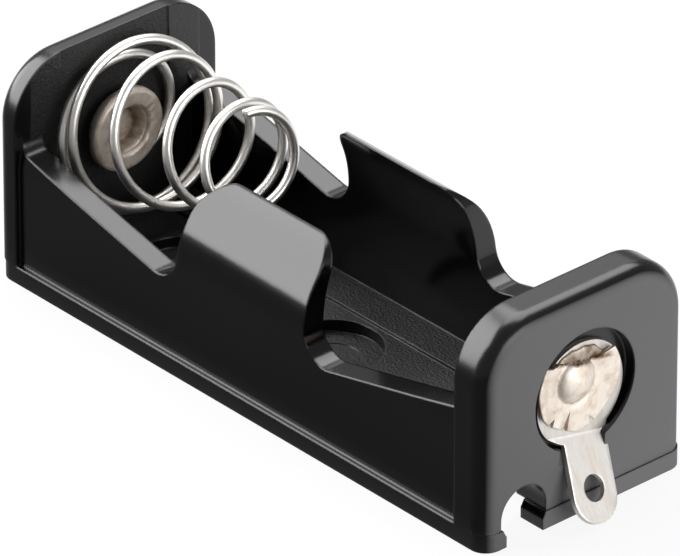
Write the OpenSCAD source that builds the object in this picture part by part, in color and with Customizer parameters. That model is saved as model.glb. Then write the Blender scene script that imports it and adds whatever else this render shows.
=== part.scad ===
// Holder for one small 12 V cylindrical cell, with riveted contacts and solder lugs.
// X runs along the cell, positive end at +X. Z is up, and Z = 0 is the underside.

/* [Cell] */
// Diameter of the cell
cell_d = 10.3; // [9:0.1:12]
// Length of the cell
cell_l = 28.5; // [24:0.1:34]
// Clearance round the cell
cell_gap = 0.15; // [0.05:0.05:0.4]
// Length that the pressed spring keeps
spring_room = 5.35; // [4.5:0.1:8]

/* [Tray] */
// Thickness of the floor
floor_t = 1.2; // [1:0.05:2]
// Depth of the channel along the floor
channel_depth = 0.2; // [0.1:0.05:0.3]
// Width of the channel along the floor
channel_w = 6.2; // [5.8:0.1:8]
// Thickness of the side walls
wall_t = 1.4; // [1:0.05:1.8]
// Distance that the end plates stand out past the side walls
plate_step = 0.3; // [0.1:0.05:0.6]
// Height of the end plates
plate_h = 12.85; // [12:0.05:15]
// Thickness of the end plate behind the spring
neg_plate_t = 1.6; // [1.4:0.05:2.4]
// Thickness of the end plate behind the button contact
pos_plate_t = 2.25; // [1.8:0.05:3]
// Radius of the upper corners of the end plates
plate_corner_r = 3.5; // [2:0.1:4.5]
// Radius of the outer edges of the end plates
plate_edge_r = 1; // [0.4:0.05:1.2]
// Height of the band round the base
band_h = 1.03; // [0.6:0.01:1.15]
// Shift of the band towards the positive end
band_shift = 0.1; // [0:0.02:0.2]
// Radius of the band's corners
band_corner_r = 1; // [0.5:0.05:1.5]

/* [Side walls] */
// Height of the walls where they meet the end plates
wall_end_z = 7.85; // [7:0.05:9]
// Fall of the wall tops towards the middle, in degrees
wall_slope = 12.8; // [8:0.1:14]
// Width of the retaining tabs at their root
tab_w = 10; // [7:0.1:14]
// Lean of the tabs' sides, in degrees
tab_taper = 3; // [0:0.5:6]
// Radius of the tabs' upper corners
tab_corner_r = 1.8; // [0.8:0.1:2.5]
// Angle round the cell at which the tabs end
tab_tip_angle = 52; // [40:1:60]
// Thickness of the tabs at their tips
tab_tip_t = 0.75; // [0.5:0.05:1]
// Radius where a tab rises from the wall
root_r = 1.6; // [0.8:0.1:2]
// Radius where a wall rises to the spring's end plate
plate_root_r = 0.8; // [0.4:0.1:1.2]

/* [Recesses] */
// Place of the mounting recess near the spring, from the middle
end_recess_x = 12; // [9:0.1:13]
// Place of the middle mounting recess, from the middle
mid_recess_x = 0.35; // [0:0.05:3]
// Diameter of the mounting recesses
recess_d = 5.6; // [4:0.1:5.8]
// Depth of the mounting recesses
recess_depth = 0.35; // [0.2:0.05:0.4]
// Diameter of the knock-out in each mounting recess
knock_d = 3.2; // [2:0.1:3.8]
// Thickness of plastic left under a knock-out
knock_t = 0.25; // [0.2:0.05:0.35]
// Diameter of the sinkings for the solder lugs
sink_d = 6.9; // [6.6:0.1:7.6]
// Depth of the sinkings for the solder lugs
sink_depth = 0.7; // [0.4:0.05:0.8]
// Width of the sunk panel on the inside of the spring's end plate
panel_w = 7.5; // [6:0.1:9]
// Depth of that panel
panel_depth = 0.06; // [0.03:0.01:0.1]

/* [Wire notch] */
// Width of the notch
notch_w = 3.1; // [2.4:0.1:3.4]
// Height of the notch
notch_h = 3.1; // [2.6:0.1:3.6]
// Place of the notch, to the side of the middle
notch_y = 4.2; // [3.8:0.1:4.4]
// Width of the notch through the band
notch_band_w = 2.5; // [1.8:0.1:2.6]
// Thickness of the band beside the notch
notch_band_t = 1.7; // [1.2:0.1:2]
// Length of the window in the floor behind the notch
window_l = 2.6; // [1.5:0.1:4]
// Width of the window in the floor behind the notch
window_w = 4.1; // [3.2:0.1:5]

/* [Rivets] */
// Height of the contacts above the middle of the cell
contact_rise = 0.65; // [0:0.05:0.9]
// Diameter of the rivets' heads
head_d = 4.8; // [4:0.1:5]
// Thickness of the rivets' heads
head_t = 0.6; // [0.5:0.05:0.9]
// Radius of the heads' rolled rim
rim_r = 0.26; // [0.15:0.01:0.29]
// Diameter of the rivets' shanks
shank_d = 2.9; // [2.7:0.05:3]
// Diameter of the mouth of the dimple
dimple_d = 3.1; // [2.4:0.1:3.2]
// Diameter of the floor of the dimple
dimple_floor_d = 1.9; // [1.2:0.1:2]
// Depth of the dimple
dimple_depth = 1.2; // [0.8:0.05:1.3]
// Diameter of the folded tails
tail_d = 5.5; // [5:0.1:5.8]
// Thickness of the folded tails
tail_t = 0.25; // [0.2:0.01:0.35]
// Diameter of the dome on the outside
dome_d = 2.5; // [2:0.1:2.7]
// Height of the dome on the outside
dome_h = 0.45; // [0.2:0.05:0.6]
// Sideways offset of the folded tails
tail_side = 0.35; // [0:0.05:0.4]
// Upward offset of the folded tails
tail_up = 0.4; // [0:0.05:0.4]
// Clearance round the shanks and the spring's hub
hole_gap = 0.03; // [0.02:0.01:0.06]

/* [Solder lugs] */
// Thickness of the lugs
lug_t = 0.3; // [0.2:0.01:0.35]
// Diameter of the lugs' rings
lug_ring_d = 6; // [5.8:0.1:6.4]
// Width of the lugs' tails
lug_w = 3; // [2.4:0.1:3.4]
// Lean of the lugs' tails away from the plates, in degrees
lug_lean = 27; // [24:1:40]
// Turn of the lugs about their rivets, in degrees
lug_swing = 3; // [0:1:10]
// Width of the eye in each lug
eye_w = 1.4; // [1:0.05:1.8]
// Length of the eye in each lug
eye_l = 1.75; // [1.4:0.05:2.4]

/* [Spring] */
// Diameter of the spring's wire
wire_d = 0.55; // [0.4:0.01:0.6]
// Largest radius of the coil, at the middle of the wire
coil_r = 4.6; // [4:0.05:4.7]
// Radius of the last turn, at the middle of the wire
coil_end_r = 2.75; // [2.7:0.05:3.4]
// Free length of the spring from its end plate
spring_l = 9.8; // [9:0.1:12]
// Sideways lean of the free end
lean_y = 1.4; // [0:0.05:1.5]
// Upward lean of the free end
lean_z = 1.4; // [0:0.05:1.6]

/* [Hidden] */
$fn = 64;
cut = 0.5;                                        // how far a cutter runs past what it cuts

bay_r = cell_d / 2 + cell_gap;
bay_z = floor_t + bay_r;
bay_l = cell_l + spring_room + head_t;
wall_y = bay_r + wall_t;                          // outer face of a side wall
plate_y = wall_y + plate_step;                    // outer side of an end plate
body_l = bay_l + neg_plate_t + pos_plate_t;
neg_x = -body_l / 2;                              // outer faces of the end plates
pos_x = body_l / 2;
bay_neg_x = neg_x + neg_plate_t;
bay_pos_x = pos_x - pos_plate_t;
contact_z = bay_z + contact_rise;
channel_z = floor_t - channel_depth;
hole_d = shank_d + 2 * hole_gap;

// Tab section: the tip lies on a ray from the middle of the bay
tip_r = bay_r + tab_tip_t;
tip_y = tip_r * cos(tab_tip_angle);
tip_z = bay_z + tip_r * sin(tab_tip_angle);
// radius of the outer curve, which leaves the wall upright and ends at the tip
tab_out_r = (pow(wall_y - tip_y, 2) + pow(tip_z - bay_z, 2)) / (2 * (wall_y - tip_y));

hub_t = wire_d + 0.02;                            // room for the spring's hub under the head
neg_grip = hub_t + neg_plate_t - sink_depth + lug_t;
pos_grip = pos_plate_t - sink_depth + lug_t;

bend_r = 0.4;                                     // inside radius of a lug's bend
bend_drop = 2.3;                                  // from the rivet down to the bend
tail_gap = 0.06;                                  // between a lug's tail and the end plate
lug_clear = 0.03;                                 // gap between a lug's tip and the ground
tip_drop = contact_z / cos(lug_swing) - bend_drop - lug_clear;
// straight part of a lug's tail, up to the middle of its round tip
tail_l = (tip_drop - (bend_r + lug_t) * sin(lug_lean)) / cos(lug_lean) - lug_w / 2;
eye_up = 0.35;                                    // from that middle back to the eye

module tray() {
    color([0.09, 0.09, 0.10])
        difference() {
            union() {
                band();
                translate([neg_x + plate_edge_r, -bay_r - wall_t / 2, 0])
                    cube([body_l - 2 * plate_edge_r, 2 * bay_r + wall_t, floor_t]);
                side_wall();
                mirror([0, 1, 0])
                    side_wall();
                translate([bay_neg_x, 0, band_h])
                    rotate([90, 0, -90])
                        end_plate(neg_plate_t);
                translate([bay_pos_x, 0, band_h])
                    rotate([90, 0, 90])
                        end_plate(pos_plate_t);
            }
            translate([bay_neg_x, -channel_w / 2, channel_z])
                cube([bay_l, channel_w, channel_depth + cut]);
            translate([bay_neg_x - panel_depth, -panel_w / 2, floor_t])
                cube([panel_depth + cut, panel_w, plate_h]);
            mounting_recess(-end_recess_x);
            mounting_recess(-mid_recess_x);
            wire_notch();
            translate([pos_x, 0, contact_z])
                lug_sinking();
            translate([neg_x, 0, contact_z])
                rotate(180)
                    lug_sinking();
        }
}

// Band round the base: one slab with round corners
module band() {
    x = body_l / 2;
    translate([band_shift, 0, 0])
        linear_extrude(band_h) {
            square([2 * x, 2 * (plate_y - band_corner_r)], center = true);
            square([2 * (x - band_corner_r), 2 * plate_y], center = true);
            for (end = [-1, 1], side = [-1, 1])
                translate([end * (x - band_corner_r), side * (plate_y - band_corner_r)])
                    circle(band_corner_r);
        }
}

// End plate lying in XY with its round outer edges up: width along X, height along Y
module end_plate(t) {
    h = plate_h - band_h;
    straight = plate_y - plate_corner_r;
    translate([-straight, 0, 0])
        rotate([90, 0, 90])
            linear_extrude(2 * straight)
                edge_profile(h, t);
    for (side = [0, 1])
        mirror([side, 0, 0])
            translate([straight, h - plate_corner_r, 0]) {
                rotate([90, 0, 0])
                    linear_extrude(h - plate_corner_r)
                        edge_profile(plate_corner_r, t);
                rotate_extrude(angle = 90)
                    edge_profile(plate_corner_r, t);
            }
}

// Profile across an end plate's edge: w towards the edge, t towards the outside
module edge_profile(w, t) {
    r = plate_edge_r;
    square([w - r, t]);
    square([w, t - r]);
    translate([w - r, t - r])
        intersection() {
            circle(r);
            square(r + cut);
        }
}

// Section of the side wall on the +Y side with its tab: Y across, Z up
module wall_section() {
    difference() {
        union() {
            translate([bay_r, 0])
                square([wall_t, bay_z]);
            intersection() {
                translate([wall_y - tab_out_r, bay_z])
                    circle(tab_out_r);
                translate([0, bay_z])
                    square([wall_y + cut, tab_out_r + cut]);
            }
        }
        translate([0, bay_z])
            circle(bay_r);
        // everything past the tip
        translate([0, bay_z])
            rotate(tab_tip_angle)
                translate([-2 * wall_y, 0])
                    square([4 * wall_y, 2 * wall_y]);
    }
}

// Height of a wall's sloping top at x from the middle
function wall_top(x) = wall_end_z - tan(wall_slope) * (-bay_neg_x - x);

// Side view of half a wall, from the middle to an end plate: X across, Z up
module half_wall_view() {
    half = tab_w / 2;
    a = tab_taper;
    s = wall_slope;
    out = -bay_neg_x + plate_edge_r / 2;
    top_z = tip_z - 0.03;                         // blunts the tip's outer edge
    corner_z = top_z - tab_corner_r;
    corner_x = half - tan(a) * (corner_z - bay_z) - tab_corner_r / cos(a);
    root_x = (half + root_r / cos(a) - tan(a) * (wall_top(0) + root_r / cos(s) - bay_z))
             / (1 + tan(a) * tan(s));
    root_z = wall_top(root_x) + root_r / cos(s);
    // sloping wall
    polygon([[0, -cut], [out, -cut], [out, wall_top(out)], [0, wall_top(0)]]);
    // tab
    polygon([[0, -cut], [half + tan(a) * (bay_z + cut), -cut],
             [corner_x + tab_corner_r * cos(a), corner_z + tab_corner_r * sin(a)],
             [corner_x, top_z], [0, top_z]]);
    translate([corner_x, corner_z])
        circle(tab_corner_r);
    // root of the tab
    difference() {
        polygon([[root_x - root_r * cos(a), -cut], [root_x + root_r * sin(s), -cut],
                 [root_x + root_r * sin(s), root_z - root_r * cos(s)], [root_x, root_z],
                 [root_x - root_r * cos(a), root_z - root_r * sin(a)]]);
        translate([root_x, root_z])
            circle(root_r);
    }
}

module side_wall() {
    s = wall_slope;
    r = plate_root_r;
    root_x = -bay_neg_x - r;
    root_z = wall_top(root_x) + r / cos(s);
    intersection() {
        translate([neg_x + plate_edge_r, 0, 0])
            rotate([90, 0, 90])
                linear_extrude(body_l - 2 * plate_edge_r)
                    wall_section();
        translate([0, plate_y, 0])
            rotate([90, 0, 0])
                linear_extrude(plate_y) {
                    half_wall_view();
                    mirror([1, 0])
                        half_wall_view();
                    // small root at the spring's end plate
                    mirror([1, 0])
                        difference() {
                            polygon([[root_x + r * sin(s), root_z - r * cos(s)],
                                     [root_x, root_z], [root_x + r + cut, root_z],
                                     [root_x + r + cut, -cut], [root_x + r * sin(s), -cut]]);
                            translate([root_x, root_z])
                                circle(r);
                        }
                }
    }
}

// Blind recess for a screw, with a thin knock-out in its floor
module mounting_recess(x) {
    translate([x, 0, channel_z - recess_depth])
        cylinder(d = recess_d, h = recess_depth + cut);
    translate([x, 0, knock_t])
        cylinder(d = knock_d, h = channel_z);
}

// Way out for a wire below the button contact's end plate
module wire_notch() {
    arch_z = notch_h - notch_w / 2;
    behind_band = pos_x + band_shift - notch_band_t;
    translate([bay_pos_x - cut, -notch_y, 0])
        rotate([90, 0, 90])
            linear_extrude(pos_plate_t + 2 * cut) {
                translate([0, arch_z])
                    circle(notch_w / 2);
                translate([-notch_w / 2, band_h])
                    square([notch_w, arch_z - band_h]);
            }
    // slot through the band
    translate([bay_pos_x, -notch_y - notch_band_w / 2, -cut])
        cube([pos_plate_t + band_shift + cut, notch_band_w, band_h + 2 * cut]);
    // window in the floor, reaching under the end plate
    translate([behind_band - window_l, -bay_r, -cut]) {
        cube([window_l, window_w, band_h + cut]);
        cube([bay_pos_x - behind_band + window_l, window_w, floor_t + 2 * cut]);
    }
}

// Sinking for a lug's ring and hole for its rivet, outside towards +X
module lug_sinking() {
    rotate([0, 90, 0]) {
        translate([0, 0, -sink_depth])
            cylinder(d = sink_d, h = sink_depth + cut);
        translate([0, 0, -pos_plate_t - cut])
            cylinder(d = hole_d, h = pos_plate_t + cut);
    }
    // slanted way out for the tail, hidden behind it
    rotate([-lug_swing, 0, 0])
        translate([lug_t + bend_r - sink_depth, 0, -bend_drop])
            rotate([90, 180, 0])
                rotate(lug_lean)
                    translate([-bend_drop, 0, -lug_w / 2 - tail_gap])
                        cube([bend_drop + bend_r + lug_t + tail_gap, bend_drop,
                              lug_w + 2 * tail_gap]);
}

// Rivet along X with its tail towards +X; the underside of its head is at X = 0
module rivet(grip) {
    rotate([0, 90, 0])
        rotate_extrude()
            difference() {
                union() {
                    translate([0, -head_t])
                        square([head_d / 2 - rim_r, head_t]);
                    translate([0, rim_r - head_t])
                        square([head_d / 2, head_t - rim_r]);
                    translate([head_d / 2 - rim_r, rim_r - head_t])
                        circle(rim_r);
                    square([shank_d / 2, grip + tail_t / 2]);
                }
                // dimple with a bevelled mouth
                polygon([[0, -head_t - cut], [dimple_d / 2 + rim_r, -head_t - cut],
                         [dimple_d / 2 + rim_r / 2, -head_t], [dimple_d / 2, rim_r / 2 - head_t],
                         [dimple_floor_d / 2, dimple_depth - head_t],
                         [0, dimple_depth - head_t]]);
            }
    translate([grip, -tail_side, tail_up])
        rivet_tail();
}

// Folded tail of a rivet, torn along its upper edge and cracked below
module rivet_tail() {
    dome_r = (pow(dome_d / 2, 2) + pow(dome_h, 2)) / (2 * dome_h);
    rotate([90, 0, 90])
        linear_extrude(tail_t)
            difference() {
                circle(d = tail_d);
                translate([-tail_d, 1.62])
                    rotate(-9.5)
                        square([3 * tail_d, tail_d]);
                polygon([[-0.85, -1.15], [-1.05, -tail_d], [-0.5, -tail_d]]);
                polygon([[0.95, -2.15], [0.9, -tail_d], [1.7, -tail_d]]);
                polygon([[-1.75, -1.55], [-tail_d, -1.9], [-tail_d, -2.6]]);
            }
    rotate([0, 90, 0])
        rotate_extrude()
            intersection() {
                translate([0, tail_t + dome_h - dome_r])
                    circle(dome_r);
                translate([0, tail_t / 2])
                    square([dome_d / 2, tail_t + dome_h]);
            }
}

// Solder lug: ring upright round X with its back at X = 0, tail downwards and out
module solder_lug() {
    rotate([-lug_swing, 0, 0]) {
        rotate([90, 0, 90])
            linear_extrude(lug_t)
                difference() {
                    union() {
                        intersection() {
                            circle(d = lug_ring_d);
                            translate([-lug_ring_d, -bend_drop])
                                square(2 * lug_ring_d);
                        }
                        translate([-lug_w / 2, -bend_drop])
                            square([lug_w, bend_drop]);
                    }
                    circle(d = hole_d);
                }
        // the bend turns about Y
        translate([lug_t + bend_r, 0, -bend_drop])
            rotate([90, 180, 0]) {
                rotate_extrude(angle = lug_lean)
                    translate([bend_r, -lug_w / 2])
                        square([lug_t, lug_w]);
                rotate(lug_lean)
                    translate([bend_r, 0, 0])
                        rotate([0, 90, 0])
                            linear_extrude(lug_t)
                                lug_tail();
            }
    }
}

// Flat shape of a lug's tail below the bend, going up the Y axis
module lug_tail() {
    difference() {
        union() {
            translate([-lug_w / 2, 0])
                square([lug_w, tail_l]);
            translate([0, tail_l])
                circle(d = lug_w);
        }
        translate([0, tail_l - eye_up]) {
            square([eye_w, eye_l - eye_w], center = true);
            for (end = [-1, 1])
                translate([0, end * (eye_l - eye_w) / 2])
                    circle(d = eye_w);
        }
    }
}

// Middle line of the spring's wire. Each row: turn, radius, distance from the end
// plate, lean to the side and lean upwards; the last three reach 1 at the free end.
hub_r = hole_d / 2 + wire_d / 2;
hub_x = (hub_t / 2) / spring_l;
mid_r = (coil_r + coil_end_r) / 2;
coil = [
    [-1.5, hub_r, hub_x, 0, 0],
    [-1.2, hub_r, hub_x, 0, 0],
    [-0.45, hub_r, hub_x, 0, 0],
    [0, 0.72 * coil_r, 0.045, -0.05, 0.1],
    [0.5, 0.93 * coil_r, 0.1, 0.1, 0.15],
    [1, coil_r, 0.13, 0.2, 0.2],
    [1.5, 0.98 * coil_r, 0.17, 0.3, 0.3],
    [2, 0.91 * coil_r, 0.26, 0.5, 0.45],
    [3, 0.95 * mid_r, 0.55, 0.8, 0.55],
    [4, 1.11 * coil_end_r, 0.83, 1.05, 0.75],
    [5, 1.02 * coil_end_r, 0.98, 0.85, 0.95],
    [5.3, coil_end_r, 1, 0.8, 1],
    [5.6, coil_end_r, 1.02, 0.75, 1.05]
];
coil_tilt_y = 0.06;
coil_tilt_z = -0.17;
coil_start = -1.2;
coil_stop = 5.3;
coil_steps = 24;                                  // sections in one turn
wire_sides = 10;

function rise(i, j) = (coil[i + 1][j] - coil[i][j]) / (coil[i + 1][0] - coil[i][0]);

// Slope at a row: none where the value turns or starts, so that the wire never overshoots
function slope(i, j) =
    let (a = rise(i - 1, j), b = rise(i, j)) a * b <= 0 ? 0 : 2 * a * b / (a + b);

// Smooth value at u between the rows i and i + 1
function smooth(i, j, u) =
    let (h = coil[i + 1][0] - coil[i][0], k = (u - coil[i][0]) / h)
    (1 + 2 * k) * pow(1 - k, 2) * coil[i][j] + k * pow(1 - k, 2) * h * slope(i, j)
    + k * k * (3 - 2 * k) * coil[i + 1][j] + k * k * (k - 1) * h * slope(i + 1, j);

function row_of(u) = max([for (i = [1 : len(coil) - 3]) if (u >= coil[i][0]) i]);

function wire_point(u) =
    let (i = row_of(u), r = smooth(i, 1, u), k = min(1, max(0, (u + 0.1) / 1.1)),
         tilt = k * k * (3 - 2 * k))
    [bay_neg_x + spring_l * smooth(i, 2, u)
     + tilt * r * (coil_tilt_y * cos(360 * u) + coil_tilt_z * sin(360 * u)),
     lean_y * smooth(i, 3, u) + r * cos(360 * u),
     contact_z + lean_z * smooth(i, 4, u) + r * sin(360 * u)];

module spring() {
    n = round((coil_stop - coil_start) * coil_steps);
    points = [for (i = [0 : n])
        let (u = coil_start + (coil_stop - coil_start) * i / n,
             p = wire_point(u), q = wire_point(u + 0.002) - p,
             along = q / norm(q),
             side = [0, cos(360 * u), sin(360 * u)],
             out = side - along * (side * along), out1 = out / norm(out),
             up = cross(along, out1))
        for (j = [0 : wire_sides - 1])
            p + wire_d / 2 * (cos(360 * j / wire_sides) * out1
                              + sin(360 * j / wire_sides) * up)];
    skin = [for (i = [0 : n - 1], j = [0 : wire_sides - 1])
        let (a = i * wire_sides + j, b = i * wire_sides + (j + 1) % wire_sides)
        [a, a + wire_sides, b + wire_sides, b]];
    color([0.72, 0.72, 0.70])
        polyhedron(points, concat(skin,
            [[for (j = [0 : wire_sides - 1]) j]],
            [[for (j = [wire_sides - 1 : -1 : 0]) n * wire_sides + j]]));
}

module negative_rivet() {
    color([0.75, 0.72, 0.66])
        translate([bay_neg_x + hub_t, 0, contact_z])
            rotate(180)
                rivet(neg_grip);
}

module negative_solder_lug() {
    color([0.78, 0.76, 0.72])
        translate([neg_x + sink_depth, 0, contact_z])
            rotate(180)
                solder_lug();
}

module positive_rivet() {
    color([0.75, 0.72, 0.66])
        translate([bay_pos_x, 0, contact_z])
            rivet(pos_grip);
}

module positive_solder_lug() {
    color([0.78, 0.76, 0.72])
        translate([pos_x - sink_depth, 0, contact_z])
            solder_lug();
}

tray();
spring();
negative_rivet();
negative_solder_lug();
positive_rivet();
positive_solder_lug();
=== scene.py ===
import math

import bmesh
import bpy
import numpy as np
from mathutils import Matrix, Vector


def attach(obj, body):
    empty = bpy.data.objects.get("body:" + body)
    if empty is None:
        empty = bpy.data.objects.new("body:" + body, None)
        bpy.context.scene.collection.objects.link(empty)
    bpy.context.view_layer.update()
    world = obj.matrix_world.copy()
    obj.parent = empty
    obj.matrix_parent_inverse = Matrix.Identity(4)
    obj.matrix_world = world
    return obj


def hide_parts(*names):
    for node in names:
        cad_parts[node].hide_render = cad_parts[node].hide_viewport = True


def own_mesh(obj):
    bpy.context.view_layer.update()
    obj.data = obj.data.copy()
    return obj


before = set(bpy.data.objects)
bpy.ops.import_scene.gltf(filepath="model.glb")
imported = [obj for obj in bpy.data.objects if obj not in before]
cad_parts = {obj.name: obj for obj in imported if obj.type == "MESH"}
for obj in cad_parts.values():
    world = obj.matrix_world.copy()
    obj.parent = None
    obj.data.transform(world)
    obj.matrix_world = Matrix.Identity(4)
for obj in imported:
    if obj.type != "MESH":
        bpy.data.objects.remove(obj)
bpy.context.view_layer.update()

mm = 0.001                     # every size below is in millimetres

plates = {
    "negative": 17.55,         # inner face of each end plate, from the middle
    "positive": 16.9,
    "outer": 19.15,            # outer face of both
    "rivetZ": 7.15,
    "wireGap": 0.57,           # room for the spring's hub loop under its rivet
}


# Object at the origin from points in millimetres, with doubles merged and faces turned
# outwards.
def meshPiece(name, points, faces):
    mesh = bpy.data.meshes.new(name)
    mesh.from_pydata((np.asarray(points).reshape(-1, 3) * mm).tolist(), [], faces)
    work = bmesh.new()
    work.from_mesh(mesh)
    bmesh.ops.remove_doubles(work, verts=work.verts, dist=0.002 * mm)
    bmesh.ops.recalc_face_normals(work, faces=work.faces)
    work.to_mesh(mesh)
    work.free()
    mesh.polygons.foreach_set("use_smooth", [True] * len(mesh.polygons))
    mesh.update()
    piece = bpy.data.objects.new(name, mesh)
    bpy.context.collection.objects.link(piece)
    return piece


# Quads of a grid of points stored row after row; closed joins the last column to the first.
def gridFaces(rows, columns, closed=True, start=0):
    i = np.arange(rows - 1)[:, None] * columns
    j = np.arange(columns if closed else columns - 1)[None, :]
    k = (j + 1) % columns
    quads = np.stack([i + j, i + k, i + columns + k, i + columns + j], axis=-1)
    return (quads.reshape(-1, 4) + start).tolist()


spring = {
    "wire": 0.55,              # diameter of the wire
    "sides": 20,               # points round the wire
    "ringsPerTurn": 72,
    "length": 9.8,
    "lean": 1.4,               # full lean of the free end, sideways and upwards
    "tilt": (0.065, -0.16),    # slope of the turns to the side and upwards
    "start": -1.2,             # turns
    "stop": 5.3,
    "cut": (0, 0.8, 0.95, 1),  # size of the last rings at a cut end
    "cutBack": (0.08, 0.08, 0.06, 0),
    # turn, radius, share of the length, share of the lean sideways, share upwards
    "rows": [(-1.5, 1.755, 0.029, 0, 0), (-1.2, 1.755, 0.029, 0, 0), (-0.45, 1.755, 0.029, 0, 0),
             (0, 3.42, 0.04, 0, 0.1), (0.25, 4.08, 0.05, 0.1, 0.05), (0.5, 4.46, 0.1, 0.05, 0.25),
             (1, 4.75, 0.16, 0.12, 0.25), (1.5, 4.65, 0.18, 0.33, 0.33), (2, 4.18, 0.26, 0.42, 0.42),
             (3, 3.52, 0.55, 0.72, 0.5), (4, 3.02, 0.81, 1.15, 0.6), (5, 2.7, 1, 0.76, 1.05),
             (5.3, 2.75, 1, 0.8, 1), (5.6, 2.75, 1.01, 0.8, 1)],
}


# Cubic pieces through the values at the knots. The slope at a knot is the harmonic mean of
# the slopes on both sides, or zero where they differ in sign, so nothing overshoots.
def smoothThrough(knots, values, u):
    step = np.diff(knots)
    rise = np.diff(values) / step
    both = rise[:-1] * rise[1:]
    slope = np.zeros(len(knots))
    slope[1:-1] = np.where(both > 0, 2 * both / np.where(both > 0, rise[:-1] + rise[1:], 1), 0)
    i = np.clip(np.searchsorted(knots, u, side="right") - 1, 1, len(knots) - 3)
    k = (u - knots[i]) / step[i]
    return ((1 + 2 * k) * (1 - k) ** 2 * values[i] + k * (1 - k) ** 2 * step[i] * slope[i]
            + k * k * (3 - 2 * k) * values[i + 1] + k * k * (k - 1) * step[i] * slope[i + 1])


# Middle of the wire after u turns: a circle whose radius, place and tilt change smoothly.
# The tilt sets in over the first turn that stands clear of the plate.
def coilPath(u):
    rows = np.array(spring["rows"], float)
    radius, along, sideways, upwards = (smoothThrough(rows[:, 0], rows[:, c], u) for c in range(1, 5))
    k = np.clip((u + 0.1) / 1.1, 0, 1)
    tilt = k * k * (3 - 2 * k) * radius
    c, s = np.cos(2 * np.pi * u), np.sin(2 * np.pi * u)
    slope = spring["tilt"][0] * c + spring["tilt"][1] * s
    return np.stack([-plates["negative"] + spring["length"] * along + tilt * slope,
                     spring["lean"] * sideways + radius * c,
                     plates["rivetZ"] + spring["lean"] * upwards + radius * s], axis=-1)


# Tube round the path: at each ring the wire's circle lies on the outward direction and on
# the one square to it and to the path. The last rings shrink to a point, as on a cut wire.
def makeSpring():
    rings = int((spring["stop"] - spring["start"]) * spring["ringsPerTurn"]) + 1
    u = np.linspace(spring["start"], spring["stop"], rings)
    middle = coilPath(u)
    along = coilPath(u + 0.001) - coilPath(u - 0.001)
    along /= np.linalg.norm(along, axis=1, keepdims=True)
    out = np.stack([0 * u, np.cos(2 * np.pi * u), np.sin(2 * np.pi * u)], axis=-1)
    out -= along * (out * along).sum(axis=1, keepdims=True)
    out /= np.linalg.norm(out, axis=1, keepdims=True)
    side = np.cross(along, out)
    last = len(spring["cut"])
    size = np.ones(rings)
    size[:last], size[-last:] = spring["cut"], spring["cut"][::-1]
    back = np.array(spring["cutBack"])[:, None]
    for end, near, way in ((slice(0, last), last - 1, -back), (slice(-last, None), -last, back[::-1])):
        middle[end] = middle[near] + along[near] * way
        along[end], out[end], side[end] = along[near], out[near], side[near]
    v = np.linspace(0, 2 * np.pi, spring["sides"], endpoint=False)
    ring = out[:, None] * np.cos(v)[:, None] + side[:, None] * np.sin(v)[:, None]
    points = middle[:, None] + spring["wire"] / 2 * size[:, None, None] * ring
    return meshPiece("springWire", points, gridFaces(rings, spring["sides"]))


rivet = {
    "head": 2.4,               # radius of the head
    "thick": 0.6,
    "rim": 0.28,               # radius of the head's rounded edge
    "flat": 1.9,               # radius at which the face turns flat
    "shank": 1.45,
    "mouth": 1.36,             # radius of the dimple's mouth, inside its rolled lip
    "lip": 0.24,
    "floor": 0.9,              # radius of the dimple's floor
    "deep": 0.95,
    "dents": 0.018,            # height of the hammer marks
    "steps": 144,              # points round the head
    "tailAt": (-0.33, 0.4),    # middle of the folded tail, sideways and upwards
    "tailRadius": 2.8,
    "tailThick": 0.28,
    "stub": 2.35,              # radius of the rough stub left above the tear
    "stubAt": (-0.2, 0.05),
    "stubHigh": 0.12,
    "lumps": 0.035,
    "tear": (79.6, 1.3),       # direction square to the torn edge, and its distance
    "spike": (27, 7, 0.9),     # direction, width and length of the point at the tear's end
    "dip": (-120, 22, 0.1),    # direction, width and depth of the worn lower edge
    # direction, half width and depth of each crack
    "cracks": [(-114, 5, 1.1), (-71, 4, 0.5), (-141, 4, 0.45)],
    "curl": (-126, 7, 0.09),   # direction, width and height of the bent petal
    "domeAt": (-0.2, 0.3),     # from the middle of the tail
    "dome": 1.25,
    "domeHigh": 0.5,
    "trough": (1.1, 0.16, 0.05),  # place and width as shares of the dome's radius, depth
    "headWearAndShade": (0.1, 0.75),   # share of wear everywhere on the head, and more of painted shade in its dark ring
    "shadeRing": (1.0, 0.32),   # radius and width of that ring of painted shade in the dimple
    "stubDarkening": (2.4, 0.3),    # radius where the stub's darkening fades, and over what width
}


# Points of an arc in (radius, height), angles in degrees.
def arc(centre, radius, start, stop, count):
    angle = np.radians(np.linspace(start, stop, count))
    return np.stack([centre[0] + radius * np.cos(angle), centre[1] + radius * np.sin(angle)], axis=-1)


# Uneven height from a few waves that cross at odd angles.
def hammered(y, z):
    return (np.sin(9.1 * y + 4.3 * z + 1) * np.sin(7.7 * z - 3.1 * y) + 0.6 * np.sin(17 * y - 9 * z)
            * np.sin(15 * z + 6 * y + 2) + 0.3 * np.sin(31 * y + 11 * z) * np.sin(27 * z - 13 * y))


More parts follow.
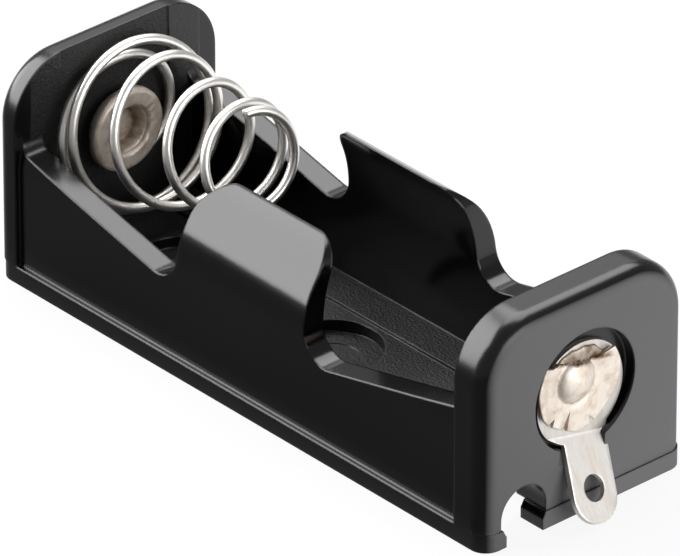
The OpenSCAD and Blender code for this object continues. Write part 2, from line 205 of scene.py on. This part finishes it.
# Turned profile of radius and height: the dimple's floor, its wall on a smooth step, the
# rolled lip, the rim, the underside and the shank. Height runs from the head's underside
# towards the tail, and the waves dent the face of the head.
def rivetHead(grip):
    top = -rivet["thick"]
    bottom = top + rivet["deep"]
    mouth, lip = rivet["mouth"], rivet["lip"]
    share = np.linspace(0, 1, 16)
    step = share * share * (3 - 2 * share)
    wall = np.stack([rivet["floor"] + (mouth - rivet["floor"]) * share,
                     bottom - (rivet["deep"] - lip) * step], axis=-1)
    profile = np.concatenate([
        [(0.0, bottom + 0.03), (0.25, bottom + 0.03), (0.5, bottom + 0.02), (0.72, bottom + 0.01)],
        wall, arc((mouth + lip, top + lip), lip, 180, 270, 7)[1:], [(rivet["flat"], top)],
        arc((rivet["head"] - rivet["rim"], top + rivet["rim"]), rivet["rim"], 270, 360, 9),
        [(rivet["head"], -0.08), (rivet["head"] - 0.08, 0), (rivet["shank"] + 0.02, 0),
         (rivet["shank"], 0.02), (rivet["shank"], grip + 0.1), (0.0, grip + 0.1)]])
    v = np.linspace(0, 2 * np.pi, rivet["steps"], endpoint=False)
    radius, height = profile[:, 0:1], profile[:, 1:2]
    y, z = radius * np.cos(v), radius * np.sin(v)
    face = np.clip((rivet["head"] - radius) / 0.5, 0, 1) * (height < -0.1)
    return np.stack([height + rivet["dents"] * hammered(y, z) * face, y, z], axis=-1)


# Bell curve of an angle about a direction, both of which are in degrees.
def bell(angle, centre, width):
    away = (np.degrees(angle) - centre + 180) % 360 - 180
    return np.exp(-(away / width) ** 2)


# Radius of the folded tail at each angle: a circle worn at the bottom, cut by a ragged
# straight tear above, with a point at the tear's end and with narrow wedges for cracks.
def tailOutline(angle):
    dip = rivet["dip"]
    radius = rivet["tailRadius"] * (1 + 0.012 * np.sin(3 * angle + 1) + 0.006 * np.sin(11 * angle))
    radius = radius * (1 - dip[2] * bell(angle, dip[0], dip[1]))
    cosine = np.cos(angle - math.radians(rivet["tear"][0]))
    ragged = 0.05 * np.sin(9 * angle + 0.5) + 0.035 * np.sin(23 * angle) + 0.02 * np.sin(61 * angle + 2)
    edge = (rivet["tear"][1] + ragged) / np.maximum(cosine, 0.05)
    edge = edge + rivet["spike"][2] * bell(angle, *rivet["spike"][:2])
    torn = np.where(cosine > 0.05, np.minimum(radius, edge), radius)
    for at, wide, deep in rivet["cracks"]:
        away = (np.degrees(angle) - at + 180) % 360 - 180
        torn = torn - deep * np.clip(1 - np.abs(away) / wide, 0, 1) ** 0.75
    return torn


# Disc in polar form: a share of the outline's radius goes out over the top, round the edge
# and back underneath. Its height is a dome with a trough round its foot, on petals whose
# edges lift in a slow wave and curl beside the deepest crack.
def rivetTail(grip):
    angle = np.linspace(-np.pi, np.pi, 480, endpoint=False)
    outline = tailOutline(angle)
    over = np.linspace(0, 0.9, 36)
    edge = [0.94, 0.965, 0.985, 0.997, 1, 0.997, 0.985, 0.96]
    edgeDrop = [0, 0.004, 0.02, 0.06, 0.11, 0.16, 0.2, 0.22]
    under = [0.9, 0.7, 0.4, 0]
    share = np.concatenate([over, edge, under])
    drop = np.concatenate([np.zeros(len(over)), edgeDrop, np.zeros(len(under))])
    isUnder = np.arange(len(share))[:, None] >= len(over) + len(edge)
    radius = share[:, None] * outline
    y, z = radius * np.cos(angle), radius * np.sin(angle)
    fromDome = np.hypot(y - rivet["domeAt"][0], z - rivet["domeAt"][1]) / rivet["dome"]
    dome = rivet["domeHigh"] * np.sqrt(np.clip(1 - fromDome ** 2, 0, 1)) ** 1.2
    at, wide, deep = rivet["trough"]
    trough = deep * np.exp(-((fromDome - at) / wide) ** 2)
    outwards = radius / rivet["tailRadius"]
    lift = outwards ** 3 * (0.07 + 0.05 * np.sin(2 * angle + 0.6) + 0.02 * np.sin(5 * angle + 2))
    lift += rivet["curl"][2] * bell(angle, *rivet["curl"][:2]) * outwards ** 4
    marks = 0.003 * hammered(1.1 * y, 0.9 * z)
    top = rivet["tailThick"] + dome - trough + lift + marks - drop[:, None]
    height = np.where(isUnder, np.clip(lift, 0, 1), top)
    return np.stack([grip + height, y + rivet["tailAt"][0], z + rivet["tailAt"][1]], axis=-1)


# Low disc under the folded tail, lumpy from the waves, with a rolled edge.
def rivetStub(grip):
    angle = np.linspace(-np.pi, np.pi, 200, endpoint=False)
    flat = np.linspace(0, 0.92, 28)
    share = np.concatenate([flat, [0.97, 1, 1, 0.5, 0]])
    rise = np.concatenate([np.full(len(flat), rivet["stubHigh"]), [0.1, 0.05, 0, -0.05, -0.05]])
    radius = share[:, None] * rivet["stub"] * (1 + 0.02 * np.sin(7 * angle) + 0.01 * np.sin(19 * angle))
    y, z = radius * np.cos(angle), radius * np.sin(angle)
    fade = np.where(rise > 0.1, np.clip(1 - share, 0.1, 1), 0)[:, None]
    height = rise[:, None] + rivet["lumps"] * fade * hammered(y, z)
    return np.stack([grip + height, y + rivet["stubAt"][0], z + rivet["stubAt"][1]], axis=-1)


# Points given outwards from an end plate, set at the end that faces +X (1) or -X (-1).
def placeAtEnd(points, x, end):
    turned = points.reshape(-1, 3) * np.array([end, end, 1.0])
    return turned + np.array([x, 0, plates["rivetZ"]])


# Share of the dark colour at each point: full on the stub past the tear, fading at its outer
# edge, and on the head a little wear everywhere, with painted shade most in a ring round the
# dimple's wall.
def rivetWearAndShade(piece, x, end, grip):
    place = np.array([v.co for v in piece.data.vertices]) / mm
    y, z = place[:, 1] * end, place[:, 2] - plates["rivetZ"]
    side, up = y - rivet["tailAt"][0], z - rivet["tailAt"][1]
    fromHead = (place[:, 0] - x) * end
    square, distance = math.radians(rivet["tear"][0]), rivet["tear"][1]
    past = side * math.cos(square) + up * math.sin(square) - distance
    fadeAt, fade = rivet["stubDarkening"]
    inside = np.clip((fadeAt - np.hypot(side, up)) / fade + 0.5, 0, 1)
    tail = np.clip(past / 0.12 + 1, 0, 1) * inside * (fromHead > grip - 0.1)
    ringAt, wide = rivet["shadeRing"]
    # Painted shade: a dark ring round the dimple's wall, where its shadow falls.
    ring = np.exp(-((np.hypot(y, z) - ringAt) / wide) ** 2)
    return np.where(fromHead < 0.5, rivet["headWearAndShade"][0] + rivet["headWearAndShade"][1] * ring, tail)


# Head, folded tail and stub in one mesh, from the underside of the head at headAt.
def makeRivet(name, end, headAt):
    x = end * headAt
    grip = plates["outer"] - lug["sunk"] + lug["thick"] - headAt
    points, faces, start = [], [], 0
    for part in (rivetHead(grip), rivetTail(grip), rivetStub(grip)):
        points.append(placeAtEnd(part, x, end))
        faces += gridFaces(*part.shape[:2], start=start)
        start += part.shape[0] * part.shape[1]
    piece = meshPiece(name, np.concatenate(points), faces)
    # The wearAndShade share carries wear on the head, painted shade in the dimple and the dark stub.
    wearAndShade = piece.data.attributes.new("wearAndShade", "FLOAT", "POINT")
    wearAndShade.data.foreach_set("value", rivetWearAndShade(piece, x, end, grip))
    return piece


lug = {
    "thick": 0.3,
    "ring": 2.95,              # outer radius of the ring
    "hole": 1.84,              # radius of the ring's hole
    "sag": 0.35,               # drop of the ring below its rivet
    "tailWide": 3.0,
    "tailSide": 0.8,           # sideways offset of the tail
    "spare": 0.02,             # room round the tip for its edge
    "bendAt": 2.25,            # from the ring's middle down to the bend
    "bend": 0.6,               # radius of the bend at mid thickness
    "lean": 29,                # degrees, of the tail away from the plate
    "swing": 12,               # degrees, of the whole lug round its rivet
    "tip": 0.06,               # height of the tip above the ground
    "eye": (1.4, 1.45),        # width and length
    "eyeUp": 0.36,             # from the middle of the round tip back to the eye
    "sunk": 0.7,               # depth of the sinking it sits in
    "edge": 0.05,              # width of the broken edges
}


# Flat shape of the lug as rows down its length. A row's outline is the wider of the ring's
# circle and the tail's strip, and its gap is the half width of a hole, so the two strips
# left and right of the gap meet where there is no hole.
def lugRows(tailLength):
    ring, hole, half = lug["ring"], lug["hole"], lug["tailWide"] / 2
    tipAt = lug["bendAt"] + tailLength
    eyeAt = tipAt - lug["eyeUp"]
    wide, long = lug["eye"]
    slide = (long - wide) / 2
    turn = np.linspace(0, np.pi, 49)
    eyeTurn = wide / 2 * np.cos(turn)
    rows = np.concatenate([-ring * np.cos(turn), -hole * np.cos(turn), eyeAt - slide - eyeTurn,
                           eyeAt + slide - eyeTurn, tipAt + half * np.sin(turn / 2),
                           np.linspace(lug["bendAt"] - 0.2, tipAt, 40)])
    b = np.unique(np.round(rows, 4))
    circle = np.sqrt(np.clip(ring ** 2 - b ** 2, 0, None))
    strip = np.sqrt(np.clip(half ** 2 - np.clip(b - tipAt, 0, None) ** 2, 0, None))
    strip = np.where(b > 0, strip, 0)
    middle = np.where(b > 0, lug["tailSide"], 0)
    left = np.minimum(np.where(b > 0, middle - strip, 0), np.where(b < ring, -circle, np.inf))
    right = np.maximum(np.where(b > 0, middle + strip, 0), np.where(b < ring, circle, -np.inf))
    holeGap = np.sqrt(np.clip(hole ** 2 - b ** 2, 0, None))
    past = np.clip(np.abs(b - eyeAt) - slide, 0, None)
    eyeGap = np.sqrt(np.clip((wide / 2) ** 2 - past ** 2, 0, None))
    centre = np.clip((b - hole) / (eyeAt - wide - hole), 0, 1) * lug["tailSide"]
    return b, left, right, centre, holeGap + eyeGap


# Each point (a, b) of the flat shape is wrapped round the bend: past the bend's line the
# distance first turns on an arc and then runs on straight. Then the lug swings about its
# ring's middle. The tail is as long as brings its tip down to the wanted height.
def makeLug(name, end):
    x = end * (plates["outer"] - lug["sunk"])
    lean, swing = math.radians(lug["lean"]), math.radians(lug["swing"])
    half, bend = lug["tailWide"] / 2, lug["bend"]
    tipDrop = (half + lug["spare"]) * math.hypot(math.sin(swing), math.cos(lean) * math.cos(swing))
    fall = ((plates["rivetZ"] - lug["sag"] - lug["tip"] - tipDrop - lug["tailSide"] * math.sin(swing))
            / math.cos(swing) - lug["bendAt"] - (bend + lug["thick"] / 2) * math.sin(lean))
    b, left, right, centre, gap = lugRows(fall / math.cos(lean) + bend * lean)
    share = np.linspace(0, 1, 9)
    strips = [left[:, None] + (centre - gap - left)[:, None] * share,
              (centre + gap)[:, None] + (right - centre - gap)[:, None] * share]
    past = np.clip(b - lug["bendAt"], 0, None)
    turned = np.clip(past / bend, 0, lean)
    rest = np.clip(past - bend * lean, 0, None)
    outwards = (bend * (1 - np.cos(turned)) + rest * math.sin(lean))[:, None] + lug["thick"] / 2
    down = (np.minimum(b, lug["bendAt"]) + bend * np.sin(turned) + rest * math.cos(lean))[:, None]
    points, faces, start = [], [], 0
    for a in strips:
        y = a * math.cos(swing) - down * math.sin(swing)
        z = -a * math.sin(swing) - down * math.cos(swing) - lug["sag"]
        sheet = np.stack([np.broadcast_to(outwards, a.shape), y, z], axis=-1)
        points.append(placeAtEnd(sheet, x, end))
        faces += gridFaces(len(b), len(share), closed=False, start=start)
        start += a.size
    piece = meshPiece(name, np.concatenate(points), faces)
    shell = piece.modifiers.new("thickness", "SOLIDIFY")
    shell.thickness, shell.offset = lug["thick"] * mm, 0
    edge = piece.modifiers.new("edge", "BEVEL")
    edge.width, edge.segments, edge.angle_limit = lug["edge"] * mm, 2, math.radians(50)
    return piece


tab = {
    "axisZ": 6.5,              # axis of the cell, round which the tabs curl
    "inner": (0, 5.3),         # middle, sideways, and radius of the inner arc
    "outer": (1.394, 5.306),
    "thin": (-2.8, 8.1),       # the new inner arc
    "squash": 0.955,           # of the height above the axis
    "tip": 4.18,               # height at which the inner arc ends
    "reach": 8.0,              # half of the length in which only the tabs stand this high
}
recess = {
    "places": (-12, -0.35),
    "radius": 2.8,
    "was": 0.65,               # height of the floor, before and after
    "floor": 0.3,
}


# Distance sideways, at some height above the cell's axis, of an arc given as in tab.
def arcSide(up, place):
    return place[0] + np.sqrt(place[1] ** 2 - up ** 2)


# Tray with the CAD part's mesh, whose tabs grow thinner towards their tips: each point of a
# tab moves sideways, by its share of the way from the outer to the inner arc. The floors of
# the mounting recesses go down to a greater depth.
def makeTray(node):
    piece = bpy.data.objects.new("trayMoulding", node.data.copy())
    bpy.context.collection.objects.link(piece)
    mesh = piece.data
    work = bmesh.new()
    work.from_mesh(mesh)
    bmesh.ops.remove_doubles(work, verts=work.verts, dist=0.001 * mm)
    work.to_mesh(mesh)
    work.free()
    if mesh.has_custom_normals:
        mesh.attributes.remove(mesh.attributes["custom_normal"])
    place = np.array([v.co for v in mesh.vertices]) / mm
    side, up = np.abs(place[:, 1]), place[:, 2] - tab["axisZ"]
    outer = arcSide(np.clip(up, 0, 5), tab["outer"])
    low = np.clip(up, 0, tab["tip"])
    full = arcSide(low, tab["outer"]) - arcSide(low, tab["inner"])
    thin = arcSide(low, tab["outer"]) - arcSide(low, tab["thin"])
    onTab = (np.abs(place[:, 0]) < tab["reach"]) & (up > 0.01) & (side > 3)
    moved = outer - (outer - side) * thin / full
    place[:, 1] = np.where(onTab, np.sign(place[:, 1]) * moved, place[:, 1])
    place[:, 2] = np.where(onTab, tab["axisZ"] + up * tab["squash"], place[:, 2])
    for x in recess["places"]:
        inside = np.hypot(place[:, 0] - x, place[:, 1]) < recess["radius"] + 0.05
        place[inside & (np.abs(place[:, 2] - recess["was"]) < 0.02), 2] = recess["floor"]
    mesh.vertices.foreach_set("co", (place * mm).ravel())
    mesh.polygons.foreach_set("use_smooth", [True] * len(mesh.polygons))
    mesh.set_sharp_from_angle(angle=math.radians(25))
    mesh.update()
    even = piece.modifiers.new("evenShading", "WEIGHTED_NORMAL")
    even.keep_sharp = True
    even.weight = 100
    return piece


tray = makeTray(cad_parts["tray"])
print("tray made")
springWire = makeSpring()
print("spring made")
negativeRivet = makeRivet("negativeRivetMetal", -1, plates["negative"] - plates["wireGap"])
positiveRivet = makeRivet("positiveRivetMetal", 1, plates["positive"])
print("rivets made")
negativeLug = makeLug("negativeLugPlate", -1)
positiveLug = makeLug("positiveLugPlate", 1)
print("solder lugs made")


# Makers for one node tree: any node, a linker, a Math node, a straight ramp of a value and
# a blend of two colours. The last three take numbers, colours and sockets alike.
def nodeMakers(tree):
    tree.nodes.clear()

    def node(kind, values=None, **settings):
        made = tree.nodes.new(kind)
        for key, value in settings.items():
            setattr(made, key, value)
        for key, value in (values or {}).items():
            made.inputs[key].default_value = value
        return made

    def put(value, socket):
        if isinstance(value, (int, float, tuple)):
            socket.default_value = value
        else:
            tree.links.new(value, socket)

    def maths(operation, *values):
        made = node("ShaderNodeMath", operation=operation)
        for value, socket in zip(values, made.inputs):
            put(value, socket)
        return made.outputs[0]

    def ramp(value, low, high, start=0.0, stop=1.0):
        ends = {"From Min": low, "From Max": high, "To Min": start, "To Max": stop}
        made = node("ShaderNodeMapRange", ends)
        put(value, made.inputs["Value"])
        return made.outputs[0]

    def blend(share, first, second):
        made = node("ShaderNodeMix", data_type="RGBA")
        for value, socket in ((share, 0), (first, 6), (second, 7)):
            put(value, made.inputs[socket])
        return made.outputs[2]

    return node, tree.links.new, maths, ramp, blend


# Empty material with its makers.
def newMaterial(name):
    material = bpy.data.materials.new(name)
    material.use_nodes = True
    return material, nodeMakers(material.node_tree)


plastic = {
    "colour": (0.0013, 0.0014, 0.0018, 1),
    "floorColour": (0.0065, 0.0063, 0.0063, 1),
    # Pale grey painted on the outer end faces for the light they catch.
    "endPaintedLight": (0.105, 0.105, 0.108, 1),
    "gloss": 0.13,             # roughness of the polished walls
    "satin": 0.22,             # roughness of the end plates' edges
    "floorRough": 0.5,
    "endRough": 0.62,
    "floorTop": 1.3,           # height and half width of the grained floor
    "floorHalf": 5.3,
    "panelHalf": 5.85,         # half width of the grained panel behind the spring
    "plateFrom": (16.6, 17.0),  # distances from the middle over which the satin sets in
    "faceFrom": (18.5, 18.9),  # and over which the outer faces do
    "grain": 6000.0,
    "grainHigh": 0.1,
    "swirl": 140.0,
    "edge": 0.2,               # radius of the softened edges
}


# Black moulding: polished walls, a fine spark-eroded grain on the floor and on the panel
# behind the spring, and a matt skin on the outer end faces, whose pale grey is painted light.
def plasticFinish():
    material, (node, link, maths, ramp, blend) = newMaterial("blackMoulding")
    place = node("ShaderNodeTexCoord").outputs["Object"]
    split = node("ShaderNodeSeparateXYZ")
    link(place, split.inputs[0])
    normal = node("ShaderNodeSeparateXYZ")
    link(node("ShaderNodeNewGeometry").outputs["Normal"], normal.inputs[0])
    x, y, z = split.outputs
    width, length = maths("ABSOLUTE", y), maths("ABSOLUTE", x)

    def below(value, limit, blur):
        return ramp(value, (limit + blur) * mm, (limit - blur) * mm)

    def between(value, limits):
        return ramp(value, limits[0] * mm, limits[1] * mm)

    level = maths("MULTIPLY", ramp(normal.outputs[2], 0.9, 0.95), below(z, plastic["floorTop"], 0.02))
    floorPart = maths("MULTIPLY", level, below(width, plastic["floorHalf"], 0.02))
    facing = maths("ABSOLUTE", normal.outputs[0])
    endPart = maths("MULTIPLY", ramp(facing, 0.75, 0.99), between(length, plastic["faceFrom"]))
    pastPlate = below(x, -plates["negative"], 0.05)
    panel = maths("MULTIPLY", pastPlate, below(width, plastic["panelHalf"], 0.05))
    floorPart = maths("MAXIMUM", floorPart, maths("MULTIPLY", ramp(facing, 0.985, 0.995), panel))

    grain = node("ShaderNodeTexNoise", {"Scale": plastic["grain"], "Detail": 3.0, "Roughness": 0.6})
    swirl = node("ShaderNodeTexNoise", {"Scale": plastic["swirl"], "Detail": 2.0})
    link(place, grain.inputs["Vector"])
    link(place, swirl.inputs["Vector"])
    colour = blend(floorPart, plastic["colour"], plastic["floorColour"])
    # Painted light: the outer end faces turn pale grey for the light that falls on them.
    colour = blend(endPart, colour, plastic["endPaintedLight"])
    rough = maths("MULTIPLY_ADD", swirl.outputs[0], 0.03, plastic["gloss"])
    for part, roughness in ((between(length, plastic["plateFrom"]), plastic["satin"]),
                            (floorPart, plastic["floorRough"]), (endPart, plastic["endRough"])):
        rough = maths("MULTIPLY_ADD", part, roughness - plastic["gloss"], rough)
    height = maths("MULTIPLY", grain.outputs[0], maths("MULTIPLY_ADD", floorPart, 0.9, 0.02))
    height = maths("MULTIPLY_ADD", swirl.outputs[0], 0.1, height)

    soft = node("ShaderNodeBevel", {"Radius": plastic["edge"] * mm}, samples=6)
    bump = node("ShaderNodeBump", {"Strength": 1.0, "Distance": plastic["grainHigh"] * mm})
    link(height, bump.inputs["Height"])
    link(soft.outputs[0], bump.inputs["Normal"])
    shader = node("ShaderNodeBsdfPrincipled", {"IOR": 1.5})
    link(colour, shader.inputs["Base Color"])
    link(rough, shader.inputs["Roughness"])
    link(bump.outputs[0], shader.inputs["Normal"])
    link(shader.outputs[0], node("ShaderNodeOutputMaterial").inputs[0])
    return material


# smear and fine are noise scales, stretch widens or narrows the smears along each axis
wireFinish = {
    "bright": (0.95, 0.93, 0.90, 1),
    "dull": (0.86, 0.83, 0.79, 1),
    "rough": 0.3,
    "smear": 700.0,
    "stretch": (1, 1, 1),
    "fine": 5000.0,
    "bump": 0.15,
}
rivetFinish = {
    "bright": (0.79, 0.72, 0.65, 1),
    "dull": (0.58, 0.47, 0.37, 1),
    # Dark colour for wear, for painted shade round the dimples and for the stub.
    "wornAndShaded": (0.17, 0.11, 0.06, 1),
    "rough": 0.52,
    "smear": 1300.0,
    "stretch": (1, 1, 1),
    "fine": 4000.0,
    "bump": 1.0,
}
lugFinish = {
    "bright": (0.70, 0.675, 0.645, 1),
    "dull": (0.58, 0.53, 0.48, 1),
    "rough": 0.42,
    "smear": 600.0,
    "stretch": (1, 2.5, 0.2),
    "fine": 4000.0,
    "bump": 0.35,
}


# Plated metal: smears that drift between a bright and a dull colour and roughen the gloss,
# over a fine pitted bump. Where a piece carries a wear-and-shade share, a dark colour shows in
# patches: wear on the rivets' heads, painted shade round their dimples, and the dark stub.
def metalFinish(name, finish):
    material, (node, link, maths, ramp, blend) = newMaterial(name)
    place = node("ShaderNodeTexCoord").outputs["Object"]
    smear = node("ShaderNodeTexNoise", {"Scale": finish["smear"], "Detail": 5.0, "Roughness": 0.6})
    fine = node("ShaderNodeTexNoise", {"Scale": finish["fine"], "Detail": 3.0})
    stretched = node("ShaderNodeVectorMath", {1: finish["stretch"]}, operation="MULTIPLY")
    link(place, stretched.inputs[0])
    link(stretched.outputs[0], smear.inputs["Vector"])
    link(place, fine.inputs["Vector"])
    colour = blend(ramp(smear.outputs[0], 0.45, 0.72), finish["bright"], finish["dull"])
    if "wornAndShaded" in finish:
        # Wear and painted shade: the point attribute darkens the colour in patches.
        wearAndShade = node("ShaderNodeAttribute", attribute_name="wearAndShade").outputs["Fac"]
        patches = ramp(smear.outputs[0], 0.35, 0.6, 0.45, 1.0)
        colour = blend(maths("MULTIPLY", wearAndShade, patches), colour, finish["wornAndShaded"])
    rough = ramp(smear.outputs[0], 0.35, 0.65, finish["rough"], finish["rough"] + 0.12)
    bump = node("ShaderNodeBump", {"Strength": finish["bump"], "Distance": 0.02 * mm})
    link(fine.outputs[0], bump.inputs["Height"])
    shader = node("ShaderNodeBsdfPrincipled", {"Metallic": 1.0})
    link(colour, shader.inputs["Base Color"])
    link(rough, shader.inputs["Roughness"])
    link(bump.outputs[0], shader.inputs["Normal"])
    link(shader.outputs[0], node("ShaderNodeOutputMaterial").inputs[0])
    return material


# Gives a piece one material all over.
def dress(piece, material):
    piece.data.materials.clear()
    piece.data.materials.append(material)


springMetal = metalFinish("brightNickelWire", wireFinish)
rivetMetal = metalFinish("nickelPlate", rivetFinish)
lugMetal = metalFinish("tinPlate", lugFinish)
for piece, material, node, slot in ((tray, plasticFinish(), "tray", "tray_plastic"),
                                    (springWire, springMetal, "spring", "spring_wire"),
                                    (negativeRivet, rivetMetal, "negative_rivet", "rivet_metal"),
                                    (positiveRivet, rivetMetal, "positive_rivet", "rivet_metal"),
                                    (negativeLug, lugMetal, "negative_solder_lug", "lug_metal"),
                                    (positiveLug, lugMetal, "positive_solder_lug", "lug_metal")):
    dress(piece, material)
    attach(piece, "holder")
    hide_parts(node)
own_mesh(springWire)
print("finishes made")


studio = {
    "azimuth": 48.39,          # degrees from -Y towards +X
    "elevation": 30.50,
    "distance": 645.0,
    "aim": (1.086, 0, 5.6),
    "right": -0.5154,          # small shift of the camera in its own plane
    "up": 0.1835,
    "lens": 657.0,
    "floorHalf": 150.0,
    "paper": 0.9,              # radiance of the floor to the camera
    "matt": 0.06,              # colour of its matt part
    "card": (-9, 2, 0.03, 0.95),  # Y where the grey card starts and ends, radiance there
    "fill": 0.3,               # radiance of the room on the part and in its reflections
    "lampDistance": 420.0,
    "lampAim": 6.0,            # height of the point that the lamps face
    # azimuth, elevation, width, height, radiance
    "lamps": {"keyLeft": (-60, 31, 480, 440, 7.2), "overhead": (212, 62, 380, 300, 5.0),
              "backLow": (228, 30, 260, 120, 1.1), "sideRight": (100, 14, 320, 260, 4.8)},
}


# Unit vector towards an azimuth, counted from -Y towards +X, and an elevation.
def directionTo(azimuth, elevation):
    a, e = math.radians(azimuth), math.radians(elevation)
    return Vector((math.sin(a) * math.cos(e), -math.cos(a) * math.cos(e), math.sin(e)))


# Camera on the line from the aim, with its axes as the columns of its matrix.
def makeCamera():
    back = directionTo(studio["azimuth"], studio["elevation"])
    right = Vector((0, 0, 1)).cross(back).normalized()
    up = back.cross(right)
    data = bpy.data.cameras.new("camera")
    data.lens = studio["lens"]
    data.sensor_width = 36
    data.clip_start, data.clip_end = 0.01, 20
    camera = bpy.data.objects.new("camera", data)
    bpy.context.collection.objects.link(camera)
    turn = Matrix((right, up, back)).transposed().to_4x4()
    spot = (Vector(studio["aim"]) + back * studio["distance"] + right * studio["right"]
            + up * studio["up"]) * mm
    camera.matrix_world = Matrix.Translation(spot) @ turn
    bpy.context.scene.camera = camera


# Flat lamp that faces the part. Its power is its radiance times its area times pi.
def softbox(name, azimuth, elevation, width, height, radiance):
    data = bpy.data.lights.new(name, "AREA")
    data.shape = "RECTANGLE"
    data.size, data.size_y = width * mm, height * mm
    data.energy = radiance * math.pi * width * height * mm * mm
    lamp = bpy.data.objects.new(name, data)
    bpy.context.collection.objects.link(lamp)
    back = directionTo(azimuth, elevation)
    lamp.location = back * studio["lampDistance"] * mm + Vector((0, 0, studio["lampAim"] * mm))
    lamp.rotation_euler = back.to_track_quat("Z", "Y").to_euler()


# Pale floor: it shows as white to the camera and through glass, a grey card in front of the
# part and a lighter one behind show in its gloss, and a thin matt part takes the shadow.
def makeFloor():
    half = studio["floorHalf"]
    corners = np.array([(-half, -half), (half, -half), (half, half), (-half, half)])
    floor = meshPiece("floor", np.column_stack([corners, [-0.01] * 4]), [(0, 1, 2, 3)])
    material, (node, link, maths, ramp, blend) = newMaterial("paleFloor")
    rays = node("ShaderNodeLightPath").outputs
    split = node("ShaderNodeSeparateXYZ")
    link(node("ShaderNodeTexCoord").outputs["Object"], split.inputs[0])
    start, stop, dark, pale = studio["card"]
    card = ramp(split.outputs[1], start * mm, stop * mm, dark, pale)
    seen = maths("MAXIMUM", rays["Is Camera Ray"], rays["Is Transmission Ray"])
    strength = maths("MULTIPLY_ADD", seen, maths("SUBTRACT", studio["paper"], card), card)
    glow = node("ShaderNodeEmission", {"Color": (1, 1, 1, 1)})
    link(strength, glow.inputs["Strength"])
    matt = node("ShaderNodeBsdfDiffuse", {"Color": (studio["matt"],) * 3 + (1,)})
    both = node("ShaderNodeAddShader")
    link(glow.outputs[0], both.inputs[0])
    link(matt.outputs[0], both.inputs[1])
    link(both.outputs[0], node("ShaderNodeOutputMaterial").inputs[0])
    dress(floor, material)


# White room to the camera and through glass. Everything else, reflections among it, gets a
# part of that light, so that polished black plastic keeps its dark walls.
def makeWorld():
    world = bpy.data.worlds.new("studio")
    world.use_nodes = True
    node, link, maths, ramp, blend = nodeMakers(world.node_tree)
    rays = node("ShaderNodeLightPath").outputs
    seen = maths("MAXIMUM", rays["Is Camera Ray"], rays["Is Transmission Ray"])
    room = node("ShaderNodeBackground", {"Color": (1, 1, 1, 1)})
    link(maths("MAXIMUM", seen, studio["fill"]), room.inputs["Strength"])
    link(room.outputs[0], node("ShaderNodeOutputWorld").inputs[0])
    bpy.context.scene.world = world


makeCamera()
for name, values in studio["lamps"].items():
    softbox(name, *values)
makeFloor()
makeWorld()
bpy.context.scene.view_settings.view_transform = "Standard"
print("studio made")
